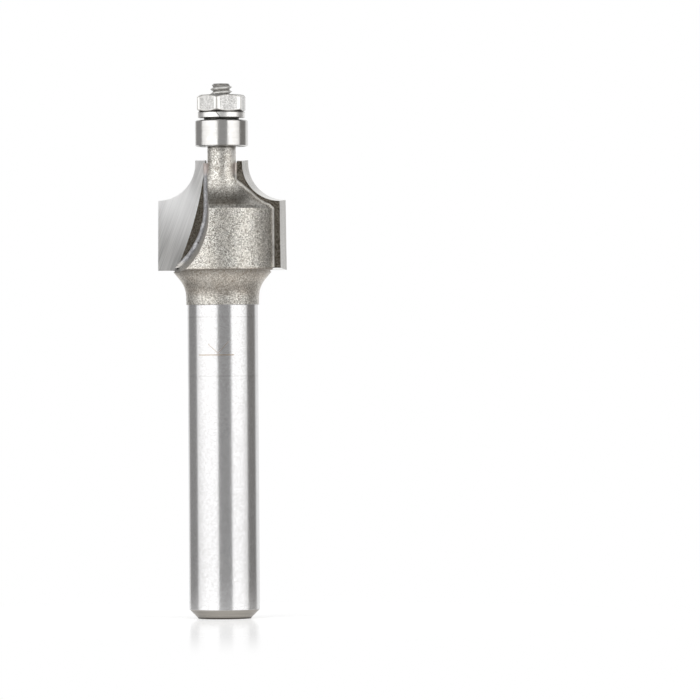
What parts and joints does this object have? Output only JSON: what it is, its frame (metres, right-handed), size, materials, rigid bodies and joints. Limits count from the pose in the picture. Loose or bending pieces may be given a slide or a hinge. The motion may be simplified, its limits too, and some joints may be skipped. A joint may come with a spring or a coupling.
{
  "type": "router bit",
  "caption": "Round-over router bit with a straight round shank, brazed carbide wings and a guide bearing held on the end by a nut.",
  "frame": {"origin": "centre of the shank's flat end face, on which the bit stands", "axes": "+Z along the axis of rotation, from the shank's end to the nut; -X along the wing whose rake face looks to -Y"},
  "size_m": [0.0116, 0.0094, 0.0481],
  "materials": {
    "body_steel": "ground bright on the shank, bead-blasted from the collar to the neck",
    "carbide": "tungsten carbide, ground on the rake face and relief, dull elsewhere",
    "silver_braze": "silver braze with a slightly rippled bead",
    "bearing_steel": "hardened and polished bearing steel",
    "shield_steel": "thin pressed steel",
    "cage_steel": "pressed crown cage",
    "shim_steel": "dark thin steel",
    "plated_steel": "bright nickel or zinc plate"
  },
  "bodies": {
    "bit": {"cutter_body": "body_steel", "carbide_tip_1": "carbide", "carbide_tip_2": "carbide", "braze_seam_1": "silver_braze", "braze_seam_2": "silver_braze", "bearing_inner_ring": "bearing_steel", "spacer_shim": "shim_steel", "lock_washer": "plated_steel", "hex_nut": "plated_steel"},
    "bearing_shell": {"bearing_outer_ring": "bearing_steel", "bearing_shield_lower": "shield_steel", "bearing_shield_upper": "shield_steel"},
    "cage": {"bearing_cage": "cage_steel"},
    "ball_1": {"bearing_ball_1": "bearing_steel"},
    "ball_2": {"bearing_ball_2": "bearing_steel"},
    "ball_3": {"bearing_ball_3": "bearing_steel"},
    "ball_4": {"bearing_ball_4": "bearing_steel"},
    "ball_5": {"bearing_ball_5": "bearing_steel"},
    "ball_6": {"bearing_ball_6": "bearing_steel"},
    "ball_7": {"bearing_ball_7": "bearing_steel"}
  },
  "joints": [
    {"name": "bearing_spin", "type": "hinge", "parent": "bit", "child": "bearing_shell", "pos_m": [0, 0, 0.04363], "axis": [0, 0, 1], "continuous": true},
    {"name": "cage_orbit", "type": "hinge", "parent": "bit", "child": "cage", "pos_m": [0, 0, 0.04363], "axis": [0, 0, 1], "continuous": true},
    {"name": "ball_1_roll", "type": "hinge", "parent": "cage", "child": "ball_1", "pos_m": [0.00179, 0, 0.04363], "axis": [0, 0, 1], "continuous": true},
    {"name": "ball_2_roll", "type": "hinge", "parent": "cage", "child": "ball_2", "pos_m": [0.00111, 0.0014, 0.04363], "axis": [0, 0, 1], "continuous": true},
    {"name": "ball_3_roll", "type": "hinge", "parent": "cage", "child": "ball_3", "pos_m": [-0.0004, 0.00174, 0.04363], "axis": [0, 0, 1], "continuous": true},
    {"name": "ball_4_roll", "type": "hinge", "parent": "cage", "child": "ball_4", "pos_m": [-0.00161, 0.00077, 0.04363], "axis": [0, 0, 1], "continuous": true},
    {"name": "ball_5_roll", "type": "hinge", "parent": "cage", "child": "ball_5", "pos_m": [-0.00161, -0.00077, 0.04363], "axis": [0, 0, 1], "continuous": true},
    {"name": "ball_6_roll", "type": "hinge", "parent": "cage", "child": "ball_6", "pos_m": [-0.0004, -0.00174, 0.04363], "axis": [0, 0, 1], "continuous": true},
    {"name": "ball_7_roll", "type": "hinge", "parent": "cage", "child": "ball_7", "pos_m": [0.00111, -0.0014, 0.04363], "axis": [0, 0, 1], "continuous": true}
  ],
  "couplings": [
    {"joint": "cage_orbit", "follows": "bearing_spin", "ratio": 0.61391},
    {"joint": "ball_1_roll", "follows": "bearing_spin", "ratio": 2.1332},
    {"joint": "ball_2_roll", "follows": "bearing_spin", "ratio": 2.1332},
    {"joint": "ball_3_roll", "follows": "bearing_spin", "ratio": 2.1332},
    {"joint": "ball_4_roll", "follows": "bearing_spin", "ratio": 2.1332},
    {"joint": "ball_5_roll", "follows": "bearing_spin", "ratio": 2.1332},
    {"joint": "ball_6_roll", "follows": "bearing_spin", "ratio": 2.1332},
    {"joint": "ball_7_roll", "follows": "bearing_spin", "ratio": 2.1332}
  ]
}
